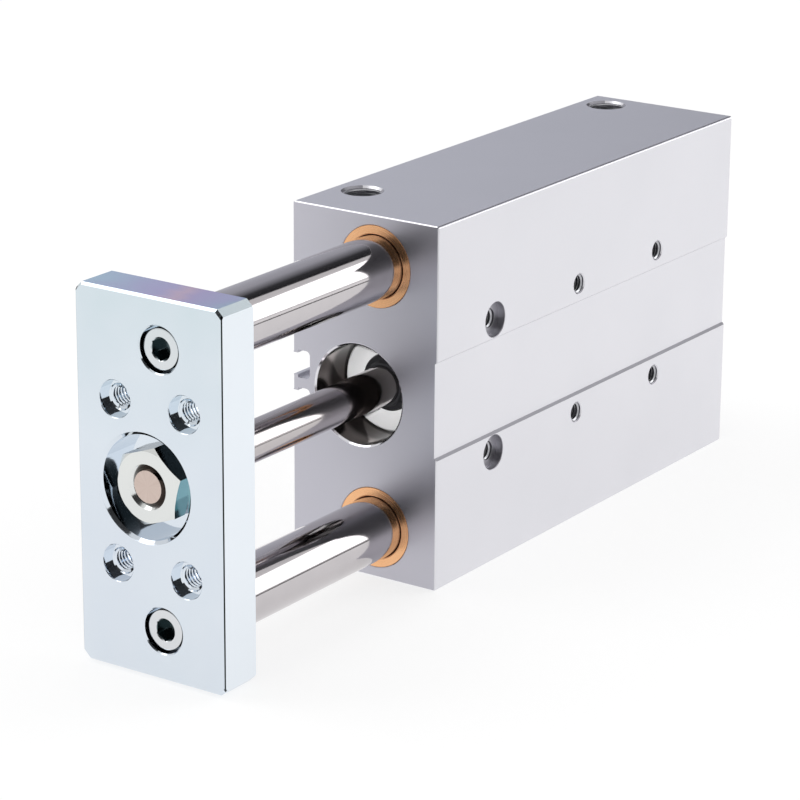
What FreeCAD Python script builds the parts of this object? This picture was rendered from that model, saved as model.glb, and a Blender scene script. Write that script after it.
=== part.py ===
import FreeCAD, Part
import math
import os
import Sketcher

# Guided pneumatic cylinder, 25 mm bore, 80 mm stroke.
# +Z is up, +Y runs from the tool plate to the closed rear end, +X is the broad side with the screw holes.
# The origin is the centre of the block's bottom face. The carriage is drawn 73 mm out of the block.

doc = FreeCAD.newDocument("guided_cylinder")

# ---------------------------------------------------------------------------------------------------
# Driving sizes (mm, degrees)
# ---------------------------------------------------------------------------------------------------
SIZES = [
    # block
    ("block_width", 43.5), ("block_length", 145.0), ("block_height", 94.0),
    ("block_edge", 0.6),
    ("recess_half_height", 12.8), ("recess_depth", 0.7), ("recess_corner", 0.6),
    # sensor slots
    ("slot_centre", 4.95), ("slot_mouth", 5.7), ("slot_inside", 7.3), ("slot_depth", 5.1),
    ("slot_lip", 1.4), ("slot_corner", 1.2), ("slot_lip_round", 0.3),
    # piston bore
    ("bore_offset", 1.8), ("bore_radius", 12.5), ("mouth_radius", 13.0), ("mouth_depth", 18.4),
    ("mouth_chamfer", 0.4),
    # guide bores
    ("guide_offset", 3.0), ("guide_edge", 13.0), ("bush_outer", 10.5), ("guide_seat_depth", 60.0),
    ("guide_tunnel", 8.7), ("guide_rim", 0.2), ("guide_rear_chamfer", 0.6),
    # air ports, G1/8
    ("port_offset", 13.3), ("port_front", 18.0), ("port_rear_inset", 8.9), ("port_radius", 4.864),
    ("port_depth", 9.0), ("port_chamfer", 0.6), ("passage_radius", 1.75), ("passage_shift", 2.2),
    ("passage_end", 2.0),
    # side holes, M5 and 9 mm centring
    ("side_first", 26.0), ("side_pitch", 40.0), ("side_half_height", 17.5), ("side_tap", 2.5),
    ("side_depth", 14.0), ("tap_chamfer", 0.3), ("centring_radius", 4.5), ("centring_depth", 2.1),
    ("centring_chamfer", 0.15),
    # tool plate
    ("plate_width", 42.0), ("plate_setback", 0.75), ("plate_thickness", 12.0), ("plate_corner", 1.6),
    ("plate_rim", 0.6), ("plate_side_rim", 0.25), ("extension", 73.0), ("tool_half_width", 10.0),
    ("tool_half_height", 20.0), ("tool_tap", 3.0),
    ("nut_pocket_radius", 12.7), ("nut_pocket_depth", 6.0), ("nut_pocket_chamfer", 0.8),
    ("screw_pocket_radius", 5.6), ("screw_pocket_depth", 6.8), ("screw_pocket_chamfer", 0.3),
    ("screw_clear", 3.3),
    # rods
    ("guide_rod_radius", 8.0), ("guide_rod_length", 143.0), ("guide_rod_chamfer", 1.0),
    ("rod_radius", 5.0), ("rod_thread_radius", 4.6), ("rod_end_gap", 1.2), ("rod_end_chamfer", 0.7),
    ("screw_tap_depth", 22.0), ("tap_point", 1.6), ("guide_rod_edge", 0.5), ("rod_relief", 0.3),
    ("run_fit", 0.03),
    # nut and screws
    ("nut_flats", 17.0), ("nut_height", 5.0), ("nut_turn", 19.4), ("nut_sink", 0.9), ("nut_cone", 0.2679),
    ("screw_head_radius", 5.0), ("screw_head_height", 6.0), ("screw_shank", 3.0),
    ("screw_length", 20.0), ("socket_flats", 5.0), ("socket_depth", 3.0), ("socket_turn", 28.0),
    ("screw_edge", 0.45),
    # bushes
    ("bush_length", 24.0), ("bush_sink", 0.15), ("bush_mouth", 0.35),
    # gland
    ("gland_depth", 13.0), ("gland_face_chamfer", 0.5), ("gland_land", 13.0), ("gland_neck", 10.5),
    ("gland_rear", 27.0), ("gland_bush_outer", 6.5), ("gland_bush_length", 7.0),
    ("wire_start", 0.9), ("wire_size", 1.1), ("gland_groove_start", 2.7), ("o_ring_size", 2.0),
    ("groove_width", 2.3), ("seal_outer", 8.5), ("seal_length", 2.8), ("seal_wall", 0.5), ("wiper_outer", 7.5),
    ("wiper_length", 1.8), ("wiper_lip", 5.7), ("wiper_lip_length", 2.6), ("gland_rod_gap", 0.4),
    ("wiper_step", 0.2), ("seal_lip", 0.9), ("seal_vee", 1.6), ("wiper_fit", 0.05),
    # end stops and rear cover
    ("bumper_length", 3.0), ("bumper_inner", 6.5), ("bumper_outer", 9.8), ("bumper_seat", 1.0),
    ("bumper_chamfer", 0.6), ("cover_groove_inset", 1.9), ("cover_chamfer", 0.5),
    ("rear_cover_length", 6.5), ("circlip_inset", 2.7), ("circlip_width", 1.2),
    ("circlip_groove", 1.3), ("circlip_groove_radius", 13.4), ("circlip_inner", 10.2),
    ("circlip_gap", 8.0), ("circlip_lug", 2.4), ("circlip_eye", 0.8), ("circlip_play", 0.05),
    ("circlip_fit", 0.1),
    ("cover_land", 12.5), ("cover_dish_radius", 7.0), ("cover_dish_depth", 1.5),
    # piston
    ("stroke_ahead", 8.1), ("piston_length", 22.6), ("piston_radius", 12.2), ("magnet_length", 5.0),
    ("magnet_outer", 11.8), ("magnet_inner", 7.5), ("piston_seal_outer", 12.46),
    ("piston_seal_root", 9.2), ("piston_seal_width", 2.6), ("piston_seal_land", 1.9),
    ("wear_width", 3.0), ("wear_root", 11.0), ("spigot_radius", 4.0), ("piston_nut_flats", 13.0),
    ("piston_nut_height", 4.0), ("piston_dish", 8.0), ("piston_chamfer", 0.6), ("spigot_chamfer", 0.5),
    ("static_seal_length", 1.6), ("static_seal_height", 1.3), ("static_seal_squeeze", 0.1),
    ("piston_nut_gap", 0.3), ("piston_nut_sink", 0.5),
]

sheet = doc.addObject("Spreadsheet::Sheet", "sizes")
for row, (alias, number) in enumerate(SIZES, start=1):
    sheet.set("A%d" % row, alias)
    sheet.set("B%d" % row, str(number))
    sheet.setAlias("B%d" % row, alias)
doc.recompute()


class Size:
    """A length that knows both its present value and the sheet formula it comes from."""

    def __init__(self, value, text):
        self.value = float(value)
        self.text = text

    def _with(self, other, sign, flip=False):
        if not isinstance(other, Size):
            other = Size(other, repr(float(other)))
        left, right = (other, self) if flip else (self, other)
        results = {"+": left.value + right.value, "-": left.value - right.value,
                   "*": left.value * right.value}
        value = results[sign] if sign in results else left.value / right.value
        return Size(value, "(%s %s %s)" % (left.text, sign, right.text))

    def __add__(self, other):
        return self._with(other, "+")

    def __radd__(self, other):
        return self._with(other, "+", True)

    def __sub__(self, other):
        return self._with(other, "-")

    def __rsub__(self, other):
        return self._with(other, "-", True)

    def __mul__(self, other):
        return self._with(other, "*")

    def __rmul__(self, other):
        return self._with(other, "*", True)

    def __truediv__(self, other):
        return self._with(other, "/")

    def __neg__(self):
        return self._with(-1.0, "*")


class Named:
    """Gives s.block_width and so on as Size values."""


s = Named()
for alias, number in SIZES:
    setattr(s, alias, Size(number, "sizes." + alias))
ZERO = Size(0.0, "0")

# Stations on the cylinder's own length: depth 0 is the block's front face, + goes to the rear.
front_y = -s.block_length / 2
centre_z = s.block_height / 2
plate_back = -s.extension
plate_front = plate_back - s.plate_thickness
guide_centre = s.block_height / 2 - s.guide_edge
port_rear = s.block_length - s.port_rear_inset
circlip_start = s.block_length - s.circlip_inset
rear_cover_start = circlip_start - s.rear_cover_length
piston_front = s.gland_rear + s.bumper_length + s.stroke_ahead

finished = []


# ---------------------------------------------------------------------------------------------------
# Drawing steps used by every piece
# ---------------------------------------------------------------------------------------------------
def new_body(name):
    """A named body; it is exported under this name."""
    body = doc.addObject("PartDesign::Body", name)
    body.Label = name
    finished.append(body)
    return body


def new_sketch(body, name, role, offset=None):
    """A sketch on one of the body's own origin planes, moved along the plane's normal by offset."""
    sketch = body.newObject("Sketcher::SketchObject", name)
    plane = [f for f in body.Origin.OriginFeatures if f.Role == role][0]
    sketch.AttachmentSupport = [(plane, "")]
    sketch.MapMode = "FlatFace"
    if offset is not None:
        sketch.AttachmentOffset = FreeCAD.Placement(FreeCAD.Vector(0, 0, offset.value), FreeCAD.Rotation())
        sketch.setExpression("AttachmentOffset.Base.z", offset.text)
    return sketch


def bind_point(sketch, geometry, which, point):
    """Holds one end of a sketch line at (u, v), both bound to the sheet."""
    for kind, size in (("DistanceX", point[0]), ("DistanceY", point[1])):
        if size.text == "0":
            axis = -2 if kind == "DistanceX" else -1
            sketch.addConstraint(Sketcher.Constraint("PointOnObject", geometry, which, axis))
            continue
        index = sketch.addConstraint(Sketcher.Constraint(kind, -1, 1, geometry, which, size.value))
        sketch.setExpression("Constraints[%d]" % index, size.text)


def draw_polygon(sketch, points):
    """A closed outline of straight lines through the points."""
    count = len(points)
    corners = [FreeCAD.Vector(u.value, v.value, 0) for u, v in points]
    first = sketch.GeometryCount
    for i in range(count):
        sketch.addGeometry(Part.LineSegment(corners[i], corners[(i + 1) % count]), False)
    for i in range(count):
        after = first + (i + 1) % count
        sketch.addConstraint(Sketcher.Constraint("Coincident", first + i, 2, after, 1))
    for i in range(count):
        bind_point(sketch, first + i, 1, points[i])


def draw_circle(sketch, centre, radius):
    """A circle with its centre and radius bound to the sheet."""
    here = FreeCAD.Vector(centre[0].value, centre[1].value, 0)
    index = sketch.addGeometry(Part.Circle(here, FreeCAD.Vector(0, 0, 1), radius.value), False)
    bind_point(sketch, index, 3, centre)
    rule = sketch.addConstraint(Sketcher.Constraint("Radius", index, radius.value))
    sketch.setExpression("Constraints[%d]" % rule, radius.text)


def hexagon(centre, flats, turn):
    """Six corners of a hexagon of the given width across flats, first corner at the turn angle."""
    corners = []
    for k in range(6):
        text = "(%s + %d)" % (turn.text, 60 * k)
        angle = math.radians(turn.value + 60 * k)
        reach = flats.value / math.sqrt(3)
        corners.append((
            centre[0] + Size(reach * math.cos(angle), "(%s / sqrt(3) * cos(%s * 1 deg))" % (flats.text, text)),
            centre[1] + Size(reach * math.sin(angle), "(%s / sqrt(3) * sin(%s * 1 deg))" % (flats.text, text))))
    return corners


def extrude(body, sketch, name, length, reverse=False):
    pad = body.newObject("PartDesign::Pad", name)
    pad.Profile = sketch
    pad.Length = length.value
    pad.setExpression("Length", length.text)
    pad.Reversed = reverse
    return pad


def cut(body, sketch, name, depth, reverse=False):
    """A pocket of the given depth; it must remove material."""
    doc.recompute()
    before = body.Shape.Volume
    pocket = body.newObject("PartDesign::Pocket", name)
    pocket.Profile = sketch
    pocket.Length = depth.value
    pocket.setExpression("Length", depth.text)
    pocket.Reversed = reverse
    doc.recompute()
    if body.Shape.Volume >= before - 1e-6:
        raise ValueError("pocket %s removed nothing" % name)
    return pocket


def revolve(name, points, place):
    """A turned piece: the outline is (depth along the axis, radius), turned round the Y direction."""
    body = new_body(name)
    sketch = new_sketch(body, name + "_outline", "XY_Plane")
    draw_polygon(sketch, [(radius, depth) for depth, radius in points])
    turned = body.newObject("PartDesign::Revolution", name + "_turned")
    turned.Profile = sketch
    turned.ReferenceAxis = (sketch, ["V_Axis"])
    turned.Angle = 360.0
    put(body, place)
    return body


def put(body, place):
    """Places a piece; each coordinate is bound to the sheet."""
    body.Placement = FreeCAD.Placement(FreeCAD.Vector(*[c.value for c in place]), FreeCAD.Rotation())
    for letter, size in zip("xyz", place):
        body.setExpression("Placement.Base." + letter, size.text)


def pick_edges(feature, test):
    """Names of the feature's edges whose middle point and length pass the test."""
    names = []
    for number, edge in enumerate(feature.Shape.Edges, start=1):
        low, high = edge.ParameterRange
        if test(edge, edge.valueAt((low + high) / 2)):
            names.append("Edge%d" % number)
    return names


def break_edges(body, name, kind, size, test):
    """Chamfers or rounds the edges of the body's tip that pass the test."""
    doc.recompute()
    base = body.Tip
    names = pick_edges(base, test)
    if not names:
        raise ValueError("no edges for %s" % name)
    feature = body.newObject("PartDesign::" + kind, name)
    feature.Base = (base, names)
    field = "Size" if kind == "Chamfer" else "Radius"
    setattr(feature, field, size.value)
    feature.setExpression(field, size.text)
    doc.recompute()
    return feature


def near(a, b):
    return abs(a - b) < 1e-4


def is_circle(edge, radius):
    return hasattr(edge.Curve, "Radius") and near(edge.Curve.Radius, radius)


def piston_axis():
    return (-s.bore_offset, front_y, centre_z)


def guide_axis(side):
    """side +1 is the upper guide rod, -1 the lower one."""
    return (s.guide_offset, front_y, centre_z + guide_centre * side)


# ---------------------------------------------------------------------------------------------------
# Block: aluminium extrusion, cut to length, bored, drilled and tapped
# ---------------------------------------------------------------------------------------------------
def block_outline():
    """The extruded section, seen from the front: (x, height above the block's middle)."""
    half = s.block_width / 2
    top = s.block_height / 2
    floor = half - s.recess_depth
    outline = [
        (-half, -top), (half, -top),
        (half, -s.recess_half_height), (floor, -s.recess_half_height + s.recess_corner),
        (floor, s.recess_half_height - s.recess_corner), (half, s.recess_half_height),
        (half, top), (-half, top),
    ]
    for side in (1, -1):
        middle = s.slot_centre * side
        mouth_far = middle + s.slot_mouth / 2
        mouth_near = middle - s.slot_mouth / 2
        inside_far = middle + s.slot_inside / 2
        inside_near = middle - s.slot_inside / 2
        lip = -half + s.slot_lip
        floor = -half + s.slot_depth
        outline += [(-half, mouth_far), (lip, mouth_far), (lip, inside_far), (floor, inside_far),
                    (floor, inside_near), (lip, inside_near), (lip, mouth_near), (-half, mouth_near)]
    return outline


def make_block():
    body = new_body("cylinder_body")
    half = s.block_width / 2
    top = s.block_height / 2
    # the sketch's plane faces -Y, so padding in reverse runs from the front face to the rear
    section = new_sketch(body, "block_section", "XZ_Plane", ZERO)
    draw_polygon(section, block_outline())
    extrude(body, section, "block_extrusion", s.block_length, True)

    break_edges(body, "block_long_edges", "Fillet", s.block_edge,
                lambda e, p: near(abs(p.x), half.value) and near(abs(p.z), top.value)
                and near(e.Length, s.block_length.value))
    inner = (-half + s.slot_depth).value
    break_edges(body, "slot_floor_corners", "Fillet", s.slot_corner,
                lambda e, p: near(p.x, inner) and near(e.Length, s.block_length.value))
    break_edges(body, "slot_lip_edges", "Fillet", s.slot_lip_round,
                lambda e, p: near(p.x, -half.value) and near(e.Length, s.block_length.value)
                and abs(p.z) < (s.slot_centre + s.slot_mouth).value)

    # piston bore with its wider mouth, and the circlip groove near the rear
    bore_at = (-s.bore_offset, ZERO)
    sketch = new_sketch(body, "bore_circle", "XZ_Plane", ZERO)
    draw_circle(sketch, bore_at, s.bore_radius)
    cut(body, sketch, "piston_bore", s.block_length)
    sketch = new_sketch(body, "mouth_circle", "XZ_Plane", ZERO)
    draw_circle(sketch, bore_at, s.mouth_radius)
    cut(body, sketch, "bore_mouth", s.mouth_depth)
    sketch = new_sketch(body, "circlip_groove_circle", "XZ_Plane", -circlip_start)
    draw_circle(sketch, bore_at, s.circlip_groove_radius)
    cut(body, sketch, "circlip_groove_cut", s.circlip_groove)
    sketch = new_sketch(body, "wire_groove_circle", "XZ_Plane", -(s.gland_depth + s.wire_start))
    draw_circle(sketch, bore_at, s.gland_land + s.wire_size / 2)
    cut(body, sketch, "wire_groove_cut", s.wire_size)

    # guide bores: a wide seat for the bushes, then a narrower tunnel to the rear
    for name, radius, depth in (("tunnels", s.guide_tunnel, s.block_length),
                                ("bush_seats", s.bush_outer, s.guide_seat_depth)):
        sketch = new_sketch(body, name + "_circles", "XZ_Plane", ZERO)
        for side in (1, -1):
            draw_circle(sketch, (s.guide_offset, guide_centre * side), radius)
        cut(body, sketch, "guide_" + name, depth)

    # air ports: a tapped mouth in the top face and a small passage down to the side of the bore
    for which, depth in (("front", s.port_front), ("rear", port_rear)):
        sketch = new_sketch(body, which + "_port_circle", "XY_Plane", top)
        draw_circle(sketch, (-s.port_offset, depth), s.port_radius)
        cut(body, sketch, which + "_port", s.port_depth)
        shift = s.passage_shift if which == "front" else -s.passage_shift
        sketch = new_sketch(body, which + "_passage_circle", "XY_Plane", top)
        draw_circle(sketch, (-s.port_offset, depth + shift), s.passage_radius)
        cut(body, sketch, which + "_passage", top - s.passage_end)

    # six tapped side holes; the front two carry centring counterbores
    sketch = new_sketch(body, "side_hole_circles", "YZ_Plane", half)
    for column in range(3):
        for side in (1, -1):
            draw_circle(sketch, (s.side_first + s.side_pitch * column, s.side_half_height * side), s.side_tap)
    cut(body, sketch, "side_holes", s.side_depth)
    sketch = new_sketch(body, "centring_circles", "YZ_Plane", half)
    for side in (1, -1):
        draw_circle(sketch, (s.side_first, s.side_half_height * side), s.centring_radius)
    cut(body, sketch, "centring_counterbores", s.centring_depth)

    # broken edges of the machined mouths
    length = s.block_length.value
    break_edges(body, "port_mouth_chamfers", "Chamfer", s.port_chamfer,
                lambda e, p: is_circle(e, s.port_radius.value) and near(p.z, top.value))
    break_edges(body, "side_hole_chamfers", "Chamfer", s.tap_chamfer,
                lambda e, p: is_circle(e, s.side_tap.value) and near(p.x, half.value))
    break_edges(body, "centring_chamfers", "Chamfer", s.centring_chamfer,
                lambda e, p: is_circle(e, s.centring_radius.value) and near(p.x, half.value))
    break_edges(body, "bore_mouth_chamfer", "Chamfer", s.mouth_chamfer,
                lambda e, p: is_circle(e, s.mouth_radius.value) and near(p.y, 0.0))
    break_edges(body, "bush_seat_chamfers", "Chamfer", s.guide_rim,
                lambda e, p: is_circle(e, s.bush_outer.value) and near(p.y, 0.0))
    break_edges(body, "rear_bore_chamfers", "Chamfer", s.guide_rear_chamfer,
                lambda e, p: near(p.y, length)
                and (is_circle(e, s.guide_tunnel.value) or is_circle(e, s.bore_radius.value)))
    put(body, (ZERO, front_y, centre_z))


make_block()


# ---------------------------------------------------------------------------------------------------
# Guide bushes: sintered bronze sleeves, two pressed into each guide bore
# ---------------------------------------------------------------------------------------------------
def make_bush(name, side, start):
    """A sleeve with both bore edges broken, from start, bush_length long."""
    inner = s.guide_rod_radius + s.run_fit
    end = start + s.bush_length
    points = [(start, inner + s.bush_mouth), (start, s.bush_outer), (end, s.bush_outer),
              (end, inner + s.bush_mouth), (end - s.bush_mouth, inner), (start + s.bush_mouth, inner)]
    revolve(name, points, guide_axis(side))


for level, side in (("upper", 1), ("lower", -1)):
    make_bush(level + "_front_bush", side, s.bush_sink)
    make_bush(level + "_inner_bush", side, s.guide_seat_depth - s.bush_length)


# ---------------------------------------------------------------------------------------------------
# Front gland with its bearing, wiper, seal, O-ring and locking wire
# ---------------------------------------------------------------------------------------------------
gland_groove_root = s.gland_land - s.o_ring_size
wiper_end = s.gland_depth + s.wiper_length
seal_start = wiper_end + s.seal_wall
seal_end = seal_start + s.seal_length
gland_bush_start = s.gland_rear - s.gland_bush_length
groove_start = s.gland_depth + s.gland_groove_start
wire_start = s.gland_depth + s.wire_start
wire_end = wire_start + s.wire_size
wire_root = s.gland_land - s.wire_size / 2
rod_clear = s.rod_radius + s.gland_rod_gap


def make_gland():
    """Turned aluminium: wide front land with two grooves, then a neck that lets the air pass."""
    face = s.gland_depth
    land_end = s.mouth_depth
    points = [
        (face, s.wiper_outer), (face, s.gland_land - s.gland_face_chamfer),
        (face + s.gland_face_chamfer, s.gland_land),
        (wire_start, s.gland_land), (wire_start, wire_root), (wire_end, wire_root),
        (wire_end, s.gland_land), (groove_start, s.gland_land), (groove_start, gland_groove_root),
        (groove_start + s.groove_width, gland_groove_root),
        (groove_start + s.groove_width, s.gland_land), (land_end, s.gland_land),
        (land_end, s.gland_neck), (s.gland_rear, s.gland_neck), (s.gland_rear, s.bumper_outer),
        (s.gland_rear - s.bumper_seat, s.bumper_outer), (s.gland_rear - s.bumper_seat, s.gland_bush_outer),
        (gland_bush_start - s.bumper_seat, s.gland_bush_outer),
        (gland_bush_start - s.bumper_seat, rod_clear), (seal_end, rod_clear),
        (seal_end, s.seal_outer), (seal_start, s.seal_outer), (seal_start, rod_clear + s.wiper_step),
        (wiper_end, rod_clear + s.wiper_step), (wiper_end, s.wiper_outer),
    ]
    revolve("front_gland", points, piston_axis())


def make_gland_fittings():
    run = s.rod_radius + s.run_fit
    start = gland_bush_start - s.bumper_seat
    end = s.gland_rear - s.bumper_seat
    revolve("gland_bush", [(start, run), (start, s.gland_bush_outer), (end, s.gland_bush_outer),
                           (end, run)], piston_axis())
    # U-cup: the open side of the V faces the pressure, towards the rear
    revolve("rod_seal", [
        (seal_start, run), (seal_start, s.seal_outer), (seal_end, s.seal_outer),
        (seal_end, s.seal_outer - s.seal_lip), (seal_end - s.seal_vee, (s.seal_outer + run) / 2),
        (seal_end, run + s.seal_lip), (seal_end, run)], piston_axis())
    # wiper: a body in the gland's face and a thinner lip that stands out towards the plate
    lip_tip = s.gland_depth - s.wiper_lip_length
    revolve("rod_wiper", [
        (lip_tip, run), (lip_tip, s.wiper_lip), (s.gland_depth - 0.9, s.wiper_lip + 0.3),
        (s.gland_depth - 0.5, s.wiper_outer - 0.4), (s.gland_depth, s.wiper_outer - s.wiper_fit),
        (wiper_end, s.wiper_outer - s.wiper_fit), (wiper_end, run)], piston_axis())
    revolve("gland_lock_wire", [
        (wire_start, wire_root), (wire_start, s.gland_land + s.wire_size / 2),
        (wire_end, s.gland_land + s.wire_size / 2), (wire_end, wire_root)], piston_axis())
    # front end stop: a rubber ring seated in the gland's rear face
    revolve("front_bumper", [
        (s.gland_rear - s.bumper_seat, s.bumper_inner), (s.gland_rear - s.bumper_seat, s.bumper_outer),
        (s.gland_rear + s.bumper_length - s.bumper_chamfer, s.bumper_outer),
        (s.gland_rear + s.bumper_length, s.bumper_outer - s.bumper_chamfer),
        (s.gland_rear + s.bumper_length, s.bumper_inner)], piston_axis())


make_gland()
make_gland_fittings()


# ---------------------------------------------------------------------------------------------------
# O-rings: moulded rings, drawn a little flattened as they sit in their grooves
# ---------------------------------------------------------------------------------------------------
def make_o_ring(name, middle, root, outer):
    """A ring between the groove's root and the bore wall, with its section's corners taken off."""
    half = (outer - root) / 2
    cut_back = half * 0.4142
    centre = (outer + root) / 2
    points = [(middle - half, centre - cut_back), (middle - half, centre + cut_back),
              (middle - cut_back, outer), (middle + cut_back, outer),
              (middle + half, centre + cut_back), (middle + half, centre - cut_back),
              (middle + cut_back, root), (middle - cut_back, root)]
    revolve(name, points, piston_axis())


make_o_ring("gland_o_ring", groove_start + s.groove_width / 2, gland_groove_root, s.gland_land)

# ---------------------------------------------------------------------------------------------------
# Rear cover with O-ring and end stop, held by a circlip in the bore
# ---------------------------------------------------------------------------------------------------
cover_groove_start = rear_cover_start + s.cover_groove_inset
cover_groove_root = s.cover_land - s.o_ring_size


def make_rear_end():
    start = rear_cover_start
    end = circlip_start
    revolve("rear_cover", [
        (start + s.bumper_seat, ZERO), (start + s.bumper_seat, s.bumper_outer),
        (start, s.bumper_outer), (start, s.cover_land - s.cover_chamfer),
        (start + s.cover_chamfer, s.cover_land),
        (cover_groove_start, s.cover_land), (cover_groove_start, cover_groove_root),
        (cover_groove_start + s.groove_width, cover_groove_root),
        (cover_groove_start + s.groove_width, s.cover_land), (end, s.cover_land),
        (end, s.cover_dish_radius), (end - s.cover_dish_depth, s.cover_dish_radius - 1.0),
        (end - s.cover_dish_depth, ZERO)], piston_axis())
    make_o_ring("rear_cover_o_ring", cover_groove_start + s.groove_width / 2, cover_groove_root,
                s.cover_land)
    revolve("rear_bumper", [
        (start + s.bumper_seat, s.bumper_inner), (start - s.bumper_length, s.bumper_inner),
        (start - s.bumper_length, s.bumper_outer - s.bumper_chamfer),
        (start - s.bumper_length + s.bumper_chamfer, s.bumper_outer),
        (start + s.bumper_seat, s.bumper_outer)], piston_axis())


def make_circlip():
    """Stamped internal ring: an open ring with two eyed lugs turned inwards at the gap."""
    body = new_body("rear_circlip")
    sketch = new_sketch(body, "circlip_face", "XZ_Plane", -circlip_start - s.circlip_play)
    middle = (ZERO, ZERO)
    draw_circle(sketch, middle, s.circlip_groove_radius - s.circlip_fit)
    draw_circle(sketch, middle, s.circlip_groove_radius - s.circlip_lug)
    extrude(body, sketch, "circlip_ring", s.circlip_width, True)
    lugs = new_sketch(body, "circlip_lug_face", "XZ_Plane", -circlip_start - s.circlip_play)
    for side in (1, -1):
        place = (s.circlip_gap / 2 * side, -s.circlip_inner)
        draw_circle(lugs, place, s.circlip_lug)
        draw_circle(lugs, place, s.circlip_eye)
    extrude(body, lugs, "circlip_lugs", s.circlip_width, True)
    gap = new_sketch(body, "circlip_gap_face", "XZ_Plane", -circlip_start)
    width = s.circlip_gap / 2 - s.circlip_lug * 0.8
    outer = s.circlip_groove_radius + 1.0
    draw_polygon(gap, [(-width, -outer), (width, -outer), (width, -s.circlip_inner * 0.6),
                       (-width, -s.circlip_inner * 0.6)])
    cut(body, gap, "circlip_gap_cut", s.circlip_width * 2)
    put(body, piston_axis())


make_rear_end()
make_circlip()


# ---------------------------------------------------------------------------------------------------
# Tool plate: steel, milled all over, edges broken, zinc plated
# ---------------------------------------------------------------------------------------------------
def make_plate():
    body = new_body("tool_plate")
    wide = s.plate_width / 2
    tall = s.block_height / 2 - s.plate_setback
    thick = s.plate_thickness
    sketch = new_sketch(body, "plate_face", "XZ_Plane", ZERO)
    draw_polygon(sketch, [(-wide, -tall), (wide, -tall), (wide, tall), (-wide, tall)])
    extrude(body, sketch, "plate_slab", thick, True)
    break_edges(body, "plate_corners", "Chamfer", s.plate_corner,
                lambda e, p: near(abs(p.x), wide.value) and near(abs(p.z), tall.value)
                and near(e.Length, thick.value))
    # the two long sides are only just broken, the ends and corners have a wider bevel
    break_edges(body, "plate_side_rims", "Chamfer", s.plate_side_rim,
                lambda e, p: near(abs(p.x), wide.value) and (near(p.y, 0.0) or near(p.y, thick.value)))
    break_edges(body, "plate_rims", "Chamfer", s.plate_rim,
                lambda e, p: (near(p.y, 0.0) or near(p.y, thick.value))
                and abs(p.z) > (tall - s.plate_corner).value)

    # depths are measured from the front face, which is at the sketch's own plane
    tool_places = [(s.tool_half_width * i, s.tool_half_height * k) for i in (-1, 1) for k in (1, -1)]
    screw_places = [(s.guide_offset, guide_centre * side) for side in (1, -1)]
    nut_place = [(-s.bore_offset, ZERO)]
    rows = (
        ("tool_taps", tool_places, s.tool_tap, thick),
        ("tool_centrings", tool_places, s.centring_radius, s.centring_depth),
        ("screw_holes", screw_places, s.screw_clear, thick),
        ("screw_pockets", screw_places, s.screw_pocket_radius, s.screw_pocket_depth),
        ("nut_hole", nut_place, s.rod_thread_radius, thick),
        ("nut_pocket", nut_place, s.nut_pocket_radius, s.nut_pocket_depth),
    )
    for name, places, radius, depth in rows:
        sketch = new_sketch(body, name + "_circles", "XZ_Plane", ZERO)
        for place in places:
            draw_circle(sketch, place, radius)
        cut(body, sketch, name, depth)
    for name, radius, size in (("tool_centring_chamfers", s.centring_radius, s.centring_chamfer),
                               ("screw_pocket_chamfers", s.screw_pocket_radius, s.screw_pocket_chamfer),
                               ("nut_pocket_chamfer_cut", s.nut_pocket_radius, s.nut_pocket_chamfer)):
        break_edges(body, name, "Chamfer", size,
                    lambda e, p, r=radius: is_circle(e, r.value) and near(p.y, 0.0))
    break_edges(body, "tool_tap_chamfers", "Chamfer", s.tap_chamfer,
                lambda e, p: is_circle(e, s.tool_tap.value))
    put(body, (ZERO, front_y + plate_front, centre_z))


make_plate()


# ---------------------------------------------------------------------------------------------------
# Guide rods: hard chromed steel, ground, tapped at the plate end
# ---------------------------------------------------------------------------------------------------
def make_guide_rod(name, side):
    radius = s.guide_rod_radius
    chamfer = s.guide_rod_chamfer
    end = plate_back + s.guide_rod_length
    tap_end = plate_back + s.screw_tap_depth
    revolve(name, [
        (plate_back, s.screw_shank + s.tap_chamfer), (plate_back, radius - s.guide_rod_edge),
        (plate_back + s.guide_rod_edge, radius),
        (end - chamfer * 1.7, radius), (end, radius - chamfer), (end, ZERO),
        (tap_end + s.tap_point, ZERO), (tap_end, s.screw_shank), (plate_back + s.tap_chamfer, s.screw_shank)],
        guide_axis(side))


make_guide_rod("upper_guide_rod", 1)
make_guide_rod("lower_guide_rod", -1)


# ---------------------------------------------------------------------------------------------------
# Piston rod: polished steel, threaded stub at the plate, stepped spigot in the piston
# ---------------------------------------------------------------------------------------------------
piston_end = piston_front + s.piston_length
nut_seat = piston_end - s.piston_nut_height


def make_piston_rod():
    stub = plate_front + s.rod_end_gap
    chamfer = s.rod_end_chamfer
    relief = plate_back + s.rod_relief * 2
    revolve("piston_rod", [
        (stub, ZERO), (stub, s.rod_thread_radius - chamfer), (stub + chamfer, s.rod_thread_radius),
        (plate_back, s.rod_thread_radius), (plate_back, s.rod_radius - s.rod_relief),
        (relief - s.rod_relief, s.rod_radius), (piston_front, s.rod_radius),
        (piston_front, s.spigot_radius), (piston_end - s.spigot_chamfer * 2, s.spigot_radius),
        (piston_end - s.spigot_chamfer, s.spigot_radius - s.spigot_chamfer),
        (piston_end - s.spigot_chamfer, ZERO)], piston_axis())


make_piston_rod()


# ---------------------------------------------------------------------------------------------------
# Piston: two turned aluminium halves clamp the magnet ring; seals and wear ring in grooves
# ---------------------------------------------------------------------------------------------------
magnet_start = piston_front + (s.piston_length - s.magnet_length) / 2
magnet_end = magnet_start + s.magnet_length
magnet_middle = (magnet_start + magnet_end) / 2


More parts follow.
